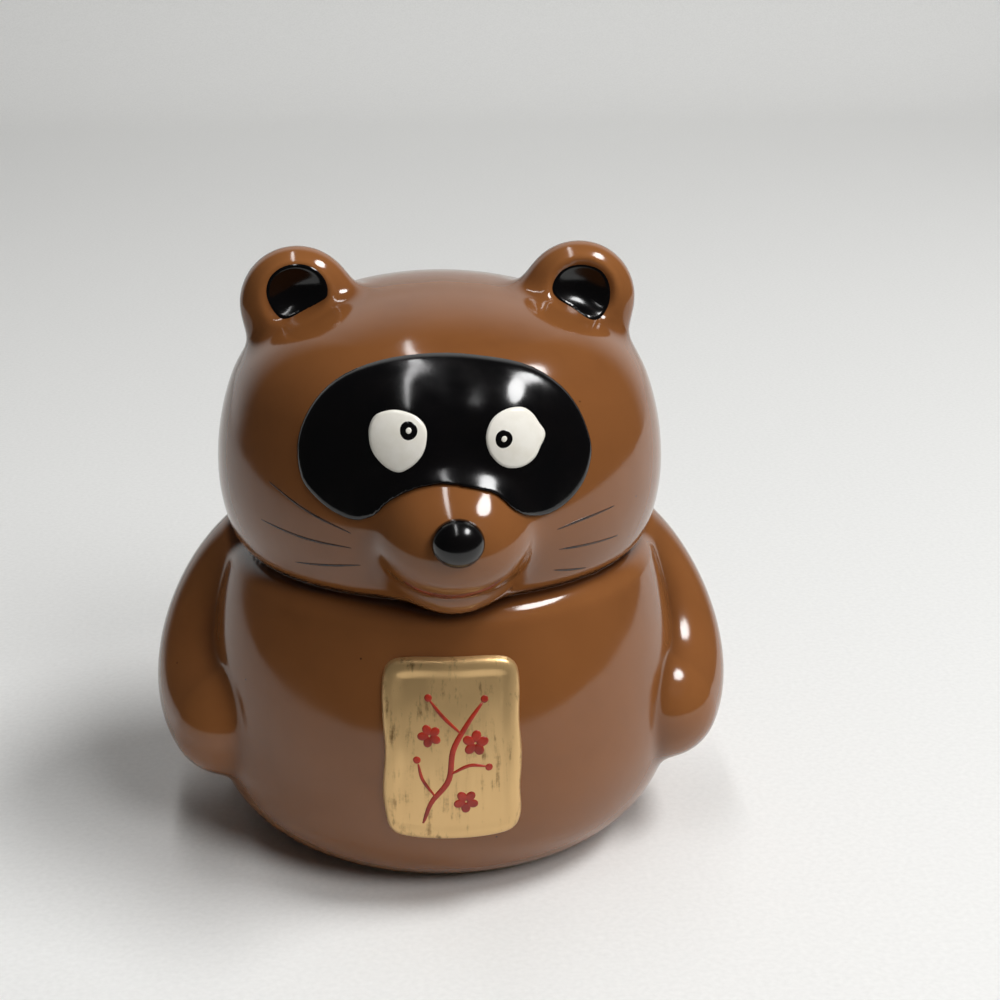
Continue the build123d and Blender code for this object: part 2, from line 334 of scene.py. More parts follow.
def torso_outside(p):
    """The torso with arms, tail and neck grown together under the glaze."""
    x, y, z = split(p)
    sizes = forms()
    form = soft_min(torso_pot(p), arm_roll(p), sizes.arm_fillet)
    form = soft_min(form, tail_brush(p), sizes.arm_fillet)
    neck = np.maximum(np.hypot(x, y) - NECK_RADIUS, np.abs(z - NECK_Z) - NECK_HALF)
    return soft_min(form, neck, NECK_CORNER)


def figure_outside(p):
    """The whole figure, with glaze in the line of the neck."""
    return soft_min(head_outside(p), torso_outside(p), forms().neck_fillet)


# The ring under the head that seats in the torso's neck, and the passage through it
SPIGOT_RADIUS, SPIGOT_LOW, SPIGOT_HIGH = 19.4 * MM, 46.0 * MM, 53.0 * MM
PASSAGE_RADIUS, PASSAGE_TOP = 16.5 * MM, 56.0 * MM
NECK_HOLE_RADIUS = 19.5 * MM
SLOT_LOW, SLOT_HIGH = np.array((-16.5, 20.0, 73.5)) * MM, np.array((16.5, 60.0, 78.5)) * MM
SLOT_EDGE = 1.2 * MM


def head_skin(p):
    """Hollow head: the cavity, the ring that drops into the neck and the coin slot are there."""
    x, y, z = split(p)
    r = np.hypot(x, y)
    form = np.maximum(head_outside(p), -head_dome(p, -WALL))
    spigot = np.maximum(np.maximum(r - SPIGOT_RADIUS, SPIGOT_LOW - z), z - SPIGOT_HIGH)
    passage = np.maximum(r - PASSAGE_RADIUS, z - PASSAGE_TOP)
    form = np.maximum(np.minimum(form, spigot), -passage)
    return soft_max(form, -block(p, SLOT_LOW, SLOT_HIGH), SLOT_EDGE)


# How far the glaze in the neck's line stays off the head's skin, and how far its edge sinks under it
GLAZE_GAP, GLAZE_SINK = 0.05 * MM, 1.2 * MM


def torso_skin(p):
    """Hollow torso on a foot ring, with the neck and the stopper's hole open.

    Glaze fills the line of the neck, and its thin upper edge sinks just under the head's skin.
    """
    x, y, z = split(p)
    r = np.hypot(x, y)
    torso, head, fillet = torso_outside(p), head_dome(p), forms().neck_fillet
    form = np.maximum(soft_min(torso, head + GLAZE_GAP, fillet), torso - fillet)
    form = np.maximum(form, -head - GLAZE_SINK)
    form = np.maximum(form, -torso_pot(p, -WALL, RECESS_DEPTH + WALL, TORSO_CEILING))
    form = np.maximum(form, -np.maximum(r - NECK_HOLE_RADIUS, SPIGOT_LOW - z))
    recess = np.maximum(r - RECESS_RADIUS, z - RECESS_DEPTH)
    hole = np.maximum(r - STOPPER_HOLE_RADIUS, z - RECESS_DEPTH - 2 * WALL)
    return soft_max(soft_max(form, -recess, FOOT_EDGE), -hole, FOOT_EDGE)


def through(p0, p1, p2, p3, t):
    """Place at t, from 0 to 1, on a smooth line from p1 to p2 that comes from p0 and goes on to p3."""
    square, cube = 2 * p0 - 5 * p1 + 4 * p2 - p3, 3 * p1 - p0 - 3 * p2 + p3
    return (2 * p1 + (p2 - p0) * t + square * t**2 + cube * t**3) / 2


def reach_at(angle, reaches):
    """Smooth closed outline through reaches at even angles, as a distance from its middle."""
    count = len(reaches)
    place = np.mod(angle / (2 * math.pi) * count, count)
    first = np.floor(place).astype(int)
    around = [np.take(reaches, (first + k) % count) for k in (-1, 0, 1, 2)]
    return through(*around, place - np.floor(place))


def smooth_loop(loop, steps=4):
    """Points, in metres, along a closed smooth line through places given in millimetres."""
    t = (np.arange(steps) / steps)[:, None]
    around = [np.roll(np.array(loop), k, axis=0)[:, None, :] for k in (1, 0, -1, -2)]
    return through(*around, t).reshape(-1, 2) * MM


def loop_edge(p, loop):
    """Distance, as seen from the front, from a closed line of short straight pieces, negative inside it."""
    x, _, z = split(p)
    nearest, inside = np.full(x.shape, np.inf), np.zeros(x.shape, bool)
    for (ax, az), (bx, bz) in zip(loop, np.roll(loop, -1, axis=0)):
        dx, dz = bx - ax, bz - az
        t = np.clip(((x - ax) * dx + (z - az) * dz) / (dx**2 + dz**2), 0.0, 1.0)
        nearest = np.minimum(nearest, (x - ax - t * dx) ** 2 + (z - az - t * dz) ** 2)
        inside ^= ((az > z) != (bz > z)) & (x < ax + (z - az) * dx / (dz or 1e-9))
    return np.where(inside, -1.0, 1.0) * np.sqrt(nearest)


# How far a relief is let into the form below it
RELIEF_ROOT = 0.6 * MM

# The mask as seen from the front, two lobes under a broad brow
MASK_LOOP = smooth_loop((
    (22.6, 78.0), (20.9, 82.6), (18.0, 86.4), (13.5, 89.4), (8.0, 90.9), (2.0, 91.8), (-4.4, 91.8),
    (-11.0, 90.8), (-16.5, 88.8), (-20.5, 85.8), (-23.2, 81.9), (-24.5, 77.5), (-24.0, 72.7), (-21.8, 70.0),
    (-18.9, 68.1), (-15.6, 67.3), (-12.6, 68.7), (-10.2, 71.3), (-6.2, 73.6), (-1.5, 74.5), (3.4, 73.7),
    (6.5, 72.6), (9.2, 70.1), (12.0, 68.2), (15.2, 67.5), (18.7, 68.9), (21.4, 71.6), (22.7, 75.0)), steps=3)
# The mask keeps to the face, in front of this
MASK_BACK, MASK_EDGE = -12.0 * MM, 1.4 * MM

# Each eye is a low cap of a large ball
EYE_RADIUS, EYE_RISE, EYE_CORNER = 15.0 * MM, 1.1 * MM, 1.0 * MM


def eye_centres():
    """Middles of both eyeballs, sunk in the mask so that a low cap stands out of it."""
    relief = forms().mask_relief
    for node in ("right_eye", "left_eye"):
        low, high = box_round(node)
        spot = lay_on(head_dome, (low + high)[None, [0, 2]] / 2)
        yield (spot + slope_of(head_dome, spot) * (relief + EYE_RISE - EYE_RADIUS))[0]


def mask_form():
    """Low relief on the head with a rounded edge, and the two eye caps grown out of it."""
    relief = forms().mask_relief
    centres = list(eye_centres())

    def mask_skin(p):
        head = face_ground(p)
        form = soft_max(head - relief, loop_edge(p, MASK_LOOP), MASK_EDGE)
        balls = np.minimum(*(np.linalg.norm(p - centre, axis=-1) for centre in centres)) - EYE_RADIUS
        form = soft_min(form, np.maximum(balls, -head), EYE_CORNER)
        return np.maximum(np.maximum(form, -head - RELIEF_ROOT), p[..., 1] - MASK_BACK)

    return mask_skin


# The plaque as seen from the front, an upright tablet whose sides waver a little, as cut by hand
PLAQUE_LOOP = smooth_loop((
    (-11.9, 18.0), (-12.3, 23.0), (-11.8, 29.0), (-12.1, 35.0), (-12.0, 40.6), (-11.0, 43.6), (-8.0, 44.7),
    (-1.0, 44.8), (6.4, 44.6), (9.4, 43.4), (10.3, 40.4), (10.2, 34.0), (10.6, 28.0), (10.3, 22.0),
    (10.5, 17.6), (9.4, 14.6), (6.2, 13.5), (-1.0, 13.2), (-8.2, 13.6), (-11.0, 14.9)))
# The plaque keeps to the belly, in front of this
PLAQUE_BACK, PLAQUE_EDGE = -20.0 * MM, 2.0 * MM
# The panel inside its border: where it starts and how wide its slope is, its depth and its dents
PANEL_BORDER, PANEL_SLOPE, PANEL_DEPTH, PANEL_DENT = 1.4 * MM, 1.8 * MM, 0.32 * MM, 0.07 * MM


def plaque_skin(p):
    """Low tablet on the belly, its panel pressed in a little, unevenly, inside a soft border."""
    x, y, z = split(p)
    torso, edge = torso_pot(p), loop_edge(p, PLAQUE_LOOP)
    inward = np.clip((-edge - PANEL_BORDER) / PANEL_SLOPE, 0.0, 1.0)
    across = np.sin(x / (1.9 * MM) + 1.4 * np.sin(z / (4.3 * MM)))
    dents = PANEL_DENT * across * np.sin(z / (3.1 * MM) + 0.9)
    dip = (PANEL_DEPTH + dents) * inward**2 * (3 - 2 * inward)
    form = soft_max(torso - forms().plaque_relief + dip, edge, PLAQUE_EDGE)
    return np.maximum(np.maximum(form, -torso - RELIEF_ROOT), y - PLAQUE_BACK)


NOSE_LOW, NOSE_HIGH = box_round("nose")
NOSE_HALF = np.array((4.15, 3.8, 3.85)) * MM


def nose_button(p):
    """Button nose, a little wider than tall."""
    middle = np.array((0.0, NOSE_LOW[1] + NOSE_HALF[1], (NOSE_LOW[2] + NOSE_HIGH[2]) / 2))
    return (np.linalg.norm((p - middle) / NOSE_HALF, axis=-1) - 1.0) * NOSE_HALF.min()


# Meshes

# A place well in front of the face, from which paint is laid on
PAINTER_Y = -90.0 * MM
# How far a dab and a stroke of paint reach into the form below them
PATCH_ROOT, STROKE_ROOT = 0.25 * MM, 0.2 * MM
# How far round a point its hollow is felt for the glaze, and how strongly it counts
HOLLOW_REACH, HOLLOW_SHARE = 1.2 * MM, 0.55


def slope_of(field, points, step=0.01 * MM):
    """Unit direction in which a field grows fastest, at each point."""
    slope = np.empty_like(points)
    for axis in range(3):
        shift = np.zeros(3)
        shift[axis] = step
        slope[:, axis] = field(points + shift) - field(points - shift)
    return slope / np.maximum(np.linalg.norm(slope, axis=1), 1e-12)[:, None]


def lay_on(field, flat):
    """Points of a form behind places, x and z, that are seen from the front."""
    spots = np.stack((flat[:, 0], np.full(len(flat), PAINTER_Y), flat[:, 1]), -1)
    for _ in range(60):
        spots[:, 1] += field(spots) * 0.8
    return spots


def skin_faces(field, low, high, cell):
    """Points and quads of the surface where a field is zero, inside a box."""
    axes = [np.arange(a - 2 * cell, b + 3 * cell, cell) for a, b in zip(low, high)]
    value = np.empty([len(a) for a in axes])
    for i, x in enumerate(axes[0]):
        y, z = np.meshgrid(axes[1], axes[2], indexing="ij")
        value[i] = field(np.stack((np.full_like(y, x), y, z), -1))
    cells = tuple(n - 1 for n in value.shape)
    total, count, crossings = np.zeros((*cells, 3)), np.zeros(cells), []
    for axis in range(3):
        near = value[tuple(slice(0, -1) if k == axis else slice(None) for k in range(3))]
        far = value[tuple(slice(1, None) if k == axis else slice(None) for k in range(3))]
        place = np.argwhere((near < 0) != (far < 0))
        a, b = near[tuple(place.T)], far[tuple(place.T)]
        spot = place.astype(float)
        spot[:, axis] += a / (a - b)
        u, v = (axis + 1) % 3, (axis + 2) % 3
        around = []
        for du, dv in ((0, 0), (-1, 0), (-1, -1), (0, -1)):
            box = place.copy()
            box[:, u] += du
            box[:, v] += dv
            np.add.at(total, tuple(box.T), spot)
            np.add.at(count, tuple(box.T), 1)
            around.append(box)
        crossings.append((around, a < 0))
    used = count > 0
    number = np.full(cells, -1)
    number[used] = np.arange(used.sum())
    start = np.array([a[0] for a in axes])
    points = total[used] / count[used][:, None] * cell + start
    quads = []
    for around, leaving in crossings:
        ring = np.stack([number[tuple(box.T)] for box in around], 1)
        quads.append(np.where(leaving[:, None], ring, ring[:, ::-1]))
    for _ in range(4):
        points -= slope_of(field, points) * np.clip(field(points), -cell, cell)[:, None]
    return points, np.concatenate(quads)


def put(name, points, faces, material, body="figure"):
    """Adds a smooth piece to the scene, in place, riding on a body."""
    mesh = bpy.data.meshes.new(name)
    mesh.from_pydata(np.asarray(points).tolist(), [], [list(map(int, f)) for f in faces])
    mesh.validate()
    mesh.update()
    mesh.shade_smooth()
    mesh.materials.append(material)
    piece = bpy.data.objects.new(name, mesh)
    bpy.context.scene.collection.objects.link(piece)
    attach(piece, body)
    return piece


def cast(name, field, low, high, cell, material, whole=None):
    """Piece whose skin lies where a field is zero. Keeps how hollow the whole form is there, for the glaze."""
    points, quads = skin_faces(field, low, high, cell)
    piece = put(name, points, quads, material)
    piece.data.normals_split_custom_set_from_vertices(slope_of(field, points).tolist())
    whole = whole or field
    bend = -6 * whole(points)
    for axis in range(3):
        for way in (-HOLLOW_REACH, HOLLOW_REACH):
            shift = np.zeros(3)
            shift[axis] = way
            bend += whole(points + shift)
    hollow = np.clip(0.5 - bend / HOLLOW_REACH * HOLLOW_SHARE, 0.0, 1.0)
    depth = piece.data.attributes.new("glaze_depth", "FLOAT", "POINT")
    depth.data.foreach_set("value", hollow.astype(np.float32))
    return piece


def coat(name, field, flat, height, root, faces, rim, material):
    """Closed coat of paint on a form: a top at some height over it, an underside in it and a rim between."""
    ground = lay_on(field, flat)
    out = slope_of(field, ground)
    count = len(flat)
    points = np.concatenate((ground + out * height[:, None], ground - out * root))
    under = [[count + k for k in reversed(face)] for face in faces]
    sides = [(a, b, count + b, count + a) for a, b in zip(rim, np.roll(rim, -1))]
    return put(name, points, [*faces, *under, *sides], material)


def patch(name, field, middle, outline, lift, material, rings=10, spokes=72):
    """Flat dab of enamel on a form: an outline round a middle, laid on from the front, with a soft rim."""
    angle = np.arange(spokes) * 2 * math.pi / spokes
    reach = outline(angle)
    share = np.linspace(0, 1, rings + 1)[1:]
    x = middle[0] + np.outer(share, reach * np.cos(angle))
    z = middle[1] + np.outer(share, reach * np.sin(angle))
    flat = np.concatenate(([middle], np.stack((x, z), -1).reshape(-1, 2)))
    height = np.concatenate(([1.0], np.repeat(1 - 0.8 * share**8, spokes))) * lift
    grid = 1 + np.arange(rings * spokes).reshape(rings, spokes)
    following = np.roll(grid, -1, axis=1)
    faces = [(0, b, a) for a, b in zip(grid[0], following[0])]
    faces += zip(grid[:-1].flat, following[:-1].flat, following[1:].flat, grid[1:].flat)
    return coat(name, field, flat, height, PATCH_ROOT, faces, grid[-1], material)


def stroke(name, field, path, width, lift, material, steps=28, blunt=0.15):
    """Brush stroke on a form: a path seen from the front, full in the middle and drawn out at its ends."""
    t = np.linspace(0, len(path) - 1, steps)
    first = np.minimum(t.astype(int), len(path) - 2)
    past = np.concatenate(([2 * path[0] - path[1]], path, [2 * path[-1] - path[-2]]))
    line = through(*(past[first + k] for k in range(4)), (t - first)[:, None])
    along = np.gradient(line, axis=0)
    side = np.stack((-along[:, 1], along[:, 0]), -1) / np.linalg.norm(along, axis=1)[:, None]
    share = np.linspace(0, 1, steps)
    body = np.clip(np.minimum(share, 1 - share) / 0.35, 0, 1)
    half = width / 2 * (blunt + (1 - blunt) * np.sqrt(body))
    across = np.array((-1.0, -0.6, 0.0, 0.6, 1.0))
    flat = line[:, None, :] + side[:, None, :] * (across[None, :, None] * half[:, None, None])
    height = np.tile(1 - 0.8 * across**4, steps) * lift
    grid = np.arange(steps * len(across)).reshape(steps, len(across))
    faces = list(zip(grid[:-1, :-1].flat, grid[1:, :-1].flat, grid[1:, 1:].flat, grid[:-1, 1:].flat))
    rim = np.concatenate((grid[0], grid[1:, -1], grid[-1, -2::-1], grid[-2:0:-1, 0]))
    return coat(name, field, flat.reshape(-1, 2), height, STROKE_ROOT, faces, rim, material)


# Materials: each finish adds its nodes to a tree, and gives what goes into the surface shader

GLAZE_IOR = 1.52


def add(tree, kind, feeds=None, **settings):
    """Adds a shader node with its settings. Inputs get values, or links from sockets or other nodes."""
    node = tree.nodes.new("ShaderNode" + kind)
    for key, value in settings.items():
        setattr(node, key, value)
    for key, value in (feeds or {}).items():
        if isinstance(value, bpy.types.Node):
            value = next(socket for socket in value.outputs if socket.enabled)
        if isinstance(value, bpy.types.NodeSocket):
            tree.links.new(value, node.inputs[key])
        else:
            node.inputs[key].default_value = value
    return node


def opaque(value):
    return (*value, 1.0)


def brown_glaze(tree, place, colours):
    """Earthenware under a dipped amber glaze: glassy, paler over ridges, darker in corners, with pinholes."""
    depth = add(tree, "Attribute", attribute_name="glaze_depth").outputs["Fac"]
    # Clouds in the glaze about 14 mm across
    cloud = add(tree, "TexNoise", {"Vector": place, "Scale": 1 / (14 * MM), "Detail": 3.0, "Roughness": 0.55})
    mixed = add(tree, "Math", {0: cloud, 1: 0.34, 2: -0.17}, operation="MULTIPLY_ADD")
    total = add(tree, "Math", {0: depth, 1: mixed}, operation="ADD", use_clamp=True)
    ramp = add(tree, "ValToRGB", {"Fac": total})
    thin, deep = ramp.color_ramp.elements
    thin.position, thin.color = 0.12, opaque(colours.brown_thin)
    deep.position, deep.color = 0.92, opaque(colours.brown_deep)
    ramp.color_ramp.elements.new(0.5).color = opaque(colours.brown)
    # Sparse specks of iron about 0.3 mm wide
    speck = add(tree, "TexVoronoi", {"Vector": place, "Scale": 1 / (4.5 * MM), "Randomness": 1.0}, feature="F1")
    dot = add(tree, "MapRange",
              {"Value": speck, "From Min": 0.02, "From Max": 0.05, "To Min": 1.0, "To Max": 0.0},
              interpolation_type="SMOOTHSTEP")
    rare = add(tree, "Math", {0: speck.outputs["Color"], 1: 0.72}, operation="GREATER_THAN")
    fleck = add(tree, "Math", {0: dot, 1: rare}, operation="MULTIPLY")
    tint = add(tree, "Mix", {"Factor": fleck, 6: ramp, 7: opaque(linear("#1E120A"))}, data_type="RGBA")
    # The foot ring is wiped bare of glaze before firing
    height = add(tree, "SeparateXYZ", {"Vector": place}).outputs["Z"]
    bare = add(tree, "MapRange",
               {"Value": height, "From Min": 0.25 * MM, "From Max": 0.7 * MM, "To Min": 1.0, "To Max": 0.0},
               interpolation_type="SMOOTHSTEP")
    clay = add(tree, "Mix", {"Factor": bare, 6: tint, 7: opaque(colours.bisque)}, data_type="RGBA")
    # Smears and handling marks about 20 mm long dull the gloss a little
    smear = add(tree, "TexNoise", {"Vector": place, "Scale": 1 / (20 * MM), "Detail": 4.0})
    gloss = add(tree, "MapRange",
                {"Value": smear, "From Min": 0.3, "From Max": 0.75, "To Min": 0.07, "To Max": 0.17})
    rough = add(tree, "Mix", {"Factor": bare, 2: gloss, 3: 0.85}, data_type="FLOAT")
    # The glaze lies in very low waves about 5 mm apart, pricked by pinholes
    wave = add(tree, "TexNoise", {"Vector": place, "Scale": 1 / (5 * MM), "Detail": 1.0})
    relief = add(tree, "Math", {0: fleck, 1: -0.8, 2: wave}, operation="MULTIPLY_ADD")
    bump = add(tree, "Bump", {"Strength": 0.1, "Distance": 0.25 * MM, "Height": relief})
    return {"Base Color": clay, "Roughness": rough, "Normal": bump, "IOR": GLAZE_IOR}


def black_glaze(tree, place, colours):
    """Overglaze black, brushed on thick: a deep gloss with faint brown where the coat is thin."""
    # Brush marks about 6 mm across, in low waves about 3 mm apart
    brush = add(tree, "TexNoise", {"Vector": place, "Scale": 1 / (6 * MM), "Detail": 4.0})
    tone = add(tree, "Mix", {"Factor": brush, 6: opaque(colours.black), 7: opaque(linear("#0A0707"))},
               data_type="RGBA")
    gloss = add(tree, "MapRange",
                {"Value": brush, "From Min": 0.3, "From Max": 0.7, "To Min": 0.1, "To Max": 0.2})
    wave = add(tree, "TexNoise", {"Vector": place, "Scale": 1 / (3 * MM), "Detail": 2.0})
    bump = add(tree, "Bump", {"Strength": 0.08, "Distance": 0.2 * MM, "Height": wave})
    return {"Base Color": tone, "Roughness": gloss, "Normal": bump, "IOR": GLAZE_IOR}


def brushed_enamel(key, second, gloss):
    """Opaque enamel laid on with a brush: even colour with soft cloudy strokes and a low sheen."""
    def enamel(tree, place, colours):
        # Strokes about 2.5 mm wide
        cloud = add(tree, "TexNoise", {"Vector": place, "Scale": 1 / (2.5 * MM), "Detail": 3.0})
        blend = add(tree, "MapRange", {"Value": cloud, "From Min": 0.35, "From Max": 0.75})
        mix = add(tree, "Mix", {"Factor": blend, 6: opaque(getattr(colours, key)), 7: opaque(linear(second))},
                  data_type="RGBA")
        bump = add(tree, "Bump", {"Strength": 0.1, "Distance": 0.1 * MM, "Height": cloud})
        return {"Base Color": mix, "Normal": bump, "Roughness": gloss}

    return enamel


def gold_lustre(tree, place, colours):
    """Gold lustre brushed on and fired: a thin satin metal film in upright strokes, rubbed dark in places."""
    # Bristle marks about 0.9 mm apart and 12 mm long
    stretch = add(tree, "Mapping", {"Vector": place, "Scale": (1 / (0.9 * MM), 1 / (0.9 * MM), 1 / (12 * MM))})
    bristle = add(tree, "TexNoise", {"Vector": stretch, "Scale": 1.0, "Detail": 4.0, "Roughness": 0.6})
    # Smudges about 5 mm across
    smudge = add(tree, "TexNoise", {"Vector": place, "Scale": 1 / (5 * MM), "Detail": 5.0, "Roughness": 0.7})
    worn = add(tree, "Math", {0: bristle, 1: smudge}, operation="MULTIPLY")
    share = add(tree, "MapRange", {"Value": worn, "From Min": 0.26, "From Max": 0.46},
                interpolation_type="SMOOTHSTEP")
    mix = add(tree, "Mix", {"Factor": share, 6: opaque(colours.gold), 7: opaque(colours.gold_worn)},
              data_type="RGBA")
    gloss = add(tree, "MapRange",
                {"Value": bristle, "From Min": 0.3, "From Max": 0.7, "To Min": 0.3, "To Max": 0.46})
    bump = add(tree, "Bump", {"Strength": 0.4, "Distance": 0.08 * MM, "Height": bristle})
    return {"Base Color": mix, "Roughness": gloss, "Normal": bump, "Metallic": 0.65}


def soft_vinyl(tree, place, colours):
    """Moulded soft vinyl: matt, faintly grained skin, a little dirty."""
    # Grain about 0.6 mm across, and dirt in clouds of about 8 mm
    grain = add(tree, "TexNoise", {"Vector": place, "Scale": 1 / (0.6 * MM), "Detail": 2.0})
    dirt = add(tree, "TexNoise", {"Vector": place, "Scale": 1 / (8 * MM), "Detail": 5.0})
    mix = add(tree, "Mix", {"Factor": dirt, 6: opaque(colours.vinyl), 7: opaque(linear("#A99F8B"))},
              data_type="RGBA")
    bump = add(tree, "Bump", {"Strength": 0.3, "Distance": 0.05 * MM, "Height": grain})
    return {"Base Color": mix, "Normal": bump, "Roughness": 0.55}


FINISHES = {
    "brown": ("earthenware_dipped_brown_glaze", brown_glaze),
    "black": ("brushed_black_overglaze", black_glaze),
    "white": ("white_enamel_brushed", brushed_enamel("white", "#EDE8DB", 0.22)),
    "red": ("red_enamel_brushed", brushed_enamel("red", "#7E1F14", 0.35)),
    "mouth": ("mouth_enamel_brushed", brushed_enamel("mouth", "#5A2412", 0.25)),
    "line": ("line_enamel_brushed", brushed_enamel("line", "#4A2E1C", 0.25)),
    "gold": ("brushed_gold_lustre", gold_lustre),
    "vinyl": ("moulded_soft_vinyl", soft_vinyl),
}


def new_material(name):
    """Empty node material, its tree and the place of a point in it."""
    material = bpy.data.materials.new(name)
    material.use_nodes = True
    tree = material.node_tree
    tree.nodes.clear()
    return material, tree, add(tree, "TexCoord").outputs["Object"]


def finish_of(key):
    """One shared material for each finish, made the first time it is asked for."""
    name, finish = FINISHES[key]
    if name not in bpy.data.materials:
        _, tree, place = new_material(name)
        shader = add(tree, "BsdfPrincipled", finish(tree, place, bpy.context.scene.tanuki_colours))
        add(tree, "OutputMaterial", {"Surface": shader})
    return bpy.data.materials[name]


# Operators, one for each piece or group of like pieces


class TANUKI_OT_head(bpy.types.Operator):
    """Glazed head with its ears, muzzle and lip, hollow, with the coin slot in the back"""
    bl_idname = "tanuki.head"
    bl_label = "Glazed head"

    def execute(self, context):
        nodes = ("head_shell", "left_ear", "right_ear", "muzzle", "lower_lip")
        cell = context.scene.tanuki_forms.cell
        piece = cast("head_glazed", head_skin, *box_round(*nodes), cell, finish_of("brown"), figure_outside)
        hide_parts(*nodes)
        return {"FINISHED"}


# How far the glaze of the torso may climb over the top of its nodes
GLAZE_CLIMB = np.array((0.0, 0.0, 6.0)) * MM


class TANUKI_OT_torso(bpy.types.Operator):
    """Glazed torso with arms and tail, hollow, on a bare foot ring"""
    bl_idname = "tanuki.torso"
    bl_label = "Glazed torso"

    def execute(self, context):
        nodes = ("torso_shell", "left_arm", "right_arm", "tail")
        cell = context.scene.tanuki_forms.cell
        low, high = box_round(*nodes)
        high += GLAZE_CLIMB
        piece = cast("torso_glazed", torso_skin, low, high, cell, finish_of("brown"), figure_outside)
        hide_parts(*nodes)
        return {"FINISHED"}


# Width of one face of the small pieces, and how far past its node's box the mask may reach
MASK_CELL, NOSE_CELL, PLAQUE_CELL, MASK_MARGIN = 0.42 * MM, 0.3 * MM, 0.4 * MM, 4.0 * MM


class TANUKI_OT_mask(bpy.types.Operator):
    """Black mask in low relief, with the caps that the eyes are painted on"""
    bl_idname = "tanuki.mask"
    bl_label = "Mask"

    def execute(self, context):
        low, high = box_round("mask_panel")
        low, high = low - MASK_MARGIN, high + MASK_MARGIN
        piece = cast("mask_glazed", mask_form(), low, high, MASK_CELL, finish_of("black"))
        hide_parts("mask_panel")
        return {"FINISHED"}


# Eyes as seen from the front, in millimetres: middle, reaches anticlockwise from +X, and the pupil's place
EYES = {
    "right_eye": (
        (-8.75, 80.7),
        (4.55, 4.9, 4.75, 4.45, 4.4, 4.5, 4.75, 4.6, 4.35, 4.3, 4.3, 4.55, 4.85, 4.5, 4.35, 4.4),
        (-6.95, 82.2)),
    "left_eye": (
        (9.6, 80.5),
        (5.1, 4.5, 4.5, 4.6, 4.5, 4.5, 4.6, 4.55, 4.5, 4.4, 4.4, 4.5, 4.55, 4.65, 4.7, 4.6),
        (7.9, 80.6)),
}
SPARK_SHIFT = np.array((0.02, 0.03)) * MM


def pupil_edge(angle):
    return (1.5 + 0.03 * np.cos(3 * angle)) * MM


def spark_edge(angle):
    return (0.54 + 0.03 * np.sin(2 * angle)) * MM


class TANUKI_OT_eyes(bpy.types.Operator):
    """White enamel eyes, each with a black pupil and a white spark"""
    bl_idname = "tanuki.eyes"
    bl_label = "Eyes"

    def execute(self, context):
        lift, mask_skin = context.scene.tanuki_forms.paint_lift, mask_form()
        for node, (middle, reaches, pupil) in EYES.items():
            middle, pupil = np.array(middle) * MM, np.array(pupil) * MM
            white = patch(f"{node}_white", mask_skin, middle, lambda a: reach_at(a, reaches) * MM, lift,
                          finish_of("white"))
            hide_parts(node)
            dark = patch(f"{node}_pupil", mask_skin, pupil, pupil_edge, lift * 1.7, finish_of("black"),
                         rings=6, spokes=48)
            spark = patch(f"{node}_spark", mask_skin, pupil + SPARK_SHIFT, spark_edge, lift * 2.4,
                          finish_of("white"), rings=4, spokes=32)
        return {"FINISHED"}


# How far the nose reaches back into the muzzle past its node
NOSE_BACK = np.array((0.0, 4.0, 0.0)) * MM


class TANUKI_OT_nose(bpy.types.Operator):
    """Black button nose on the muzzle"""
    bl_idname = "tanuki.nose"
    bl_label = "Nose"

    def execute(self, context):
        piece = cast("nose_glazed", nose_button, NOSE_LOW, NOSE_HIGH + NOSE_BACK, NOSE_CELL, finish_of("black"))
        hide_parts("nose")
        return {"FINISHED"}


# Black in the ears as seen from the front, cut off straight where the ear meets the head
EAR_LININGS = {
    "right_ear_lining": smooth_loop((
        (-29.1, 97.2), (-28.3, 99.6), (-26.2, 101.2), (-23.4, 101.6), (-20.9, 100.8), (-19.2, 98.8),
        (-18.9, 96.6), (-19.9, 95.5), (-22.9, 93.9), (-25.6, 92.7), (-27.2, 92.9), (-28.6, 94.8))),
    "left_ear_lining": smooth_loop((
        (28.9, 96.6), (28.0, 98.8), (26.4, 100.0), (23.7, 100.5), (21.2, 99.9), (19.6, 98.4), (19.0, 96.6),
        (19.9, 95.1), (22.4, 93.6), (25.2, 92.0), (27.2, 91.9), (28.7, 93.8))),
}


class TANUKI_OT_ear_linings(bpy.types.Operator):
    """Black enamel in the dish of each ear, cut off straight where the ear meets the head"""
    bl_idname = "tanuki.ear_linings"
    bl_label = "Ear linings"

    def execute(self, context):
        lift = 2 * context.scene.tanuki_forms.paint_lift
        for name, loop in EAR_LININGS.items():
            middle = loop.mean(axis=0)
            x, z = (loop - middle).T
            angles, reaches = np.arctan2(z, x), np.hypot(x, z)
            piece = patch(name, head_outside, middle,
                          lambda a: np.interp(a, angles, reaches, period=2 * math.pi), lift,
                          finish_of("black"), spokes=120)
        return {"FINISHED"}


# Brushed lines of the face as seen from the front, in millimetres
WHISKERS = (
    ((-29.2, 70.6), (-23.0, 67.4), (-16.3, 65.0)),
    ((-30.8, 63.5), (-23.5, 62.6), (-16.3, 62.4)),
    ((-25.4, 57.5), (-19.8, 58.5), (-14.9, 59.5)),
    ((16.7, 64.5), (21.2, 65.2), (26.9, 65.7)),
    ((17.1, 60.8), (21.3, 60.4), (27.9, 59.8)),
    ((16.3, 57.0), (19.0, 56.3), (22.2, 55.6)),
)
MOUTH = ((-8.3, 59.3), (-6.7, 58.2), (-4.2, 57.3), (-1.4, 56.9), (1.7, 57.2), (4.8, 58.2), (6.8, 59.7))
MOUTH_WIDTH = 1.1 * MM


